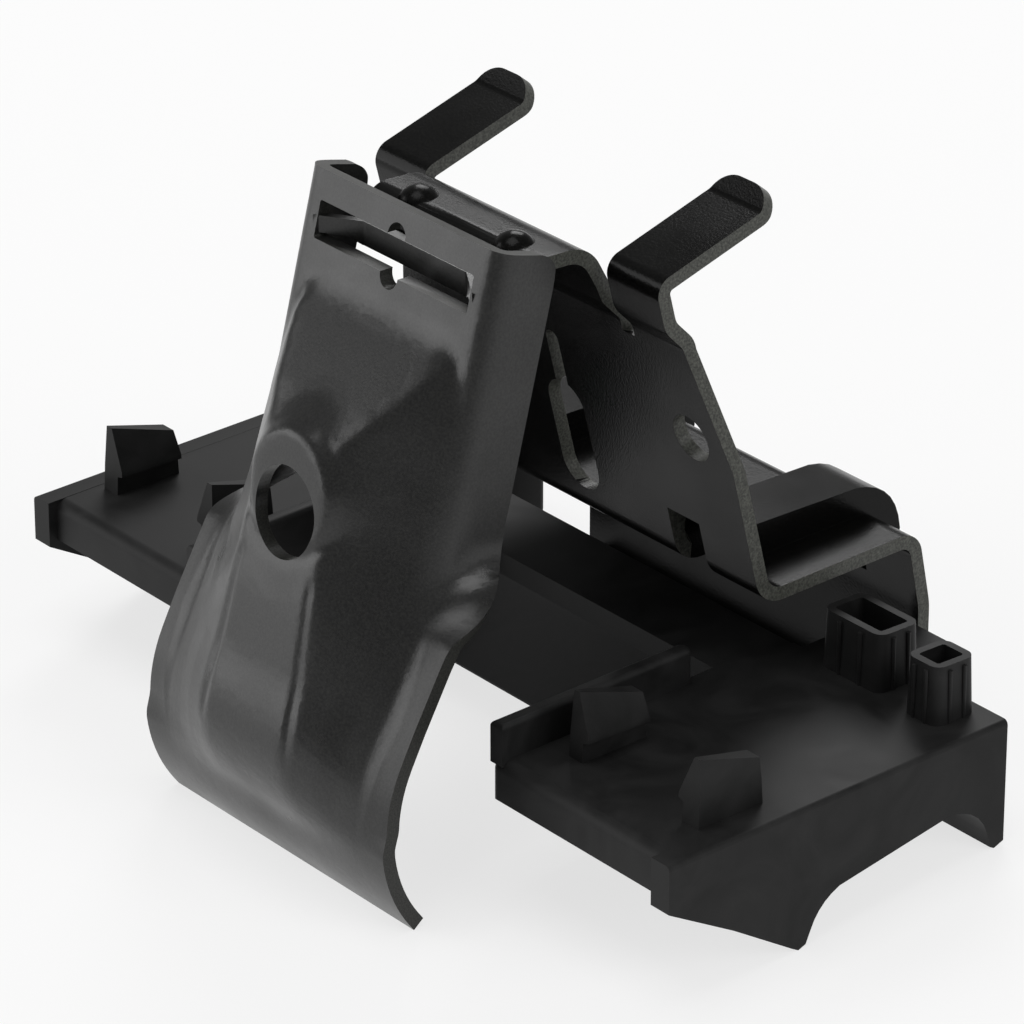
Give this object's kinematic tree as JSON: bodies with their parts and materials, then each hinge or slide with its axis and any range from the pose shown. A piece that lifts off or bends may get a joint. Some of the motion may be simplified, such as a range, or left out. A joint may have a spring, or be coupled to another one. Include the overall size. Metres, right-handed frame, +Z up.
{
  "type": "roof rack fit kit",
  "caption": "Fit kit for one roof rack foot: moulded rubber pad, pressed outer clamp bracket with rolled lip, folded inner bracket with arms",
  "frame": {"origin": "floor point under the middle of the set's bounding box", "axes": "+X along the pad, +Y from the outer bracket to the inner bracket, +Z up"},
  "size_m": [0.1676, 0.11, 0.1038],
  "materials": {
    "pad_rubber": "moulded, matte",
    "outer_coat": "dark coating, satin",
    "inner_coat": "dark coating over sheared steel edges"
  },
  "bodies": {
    "root": {"foot_pad": "pad_rubber", "outer_bracket": "outer_coat", "inner_bracket": "inner_coat"}
  },
  "joints": []
}
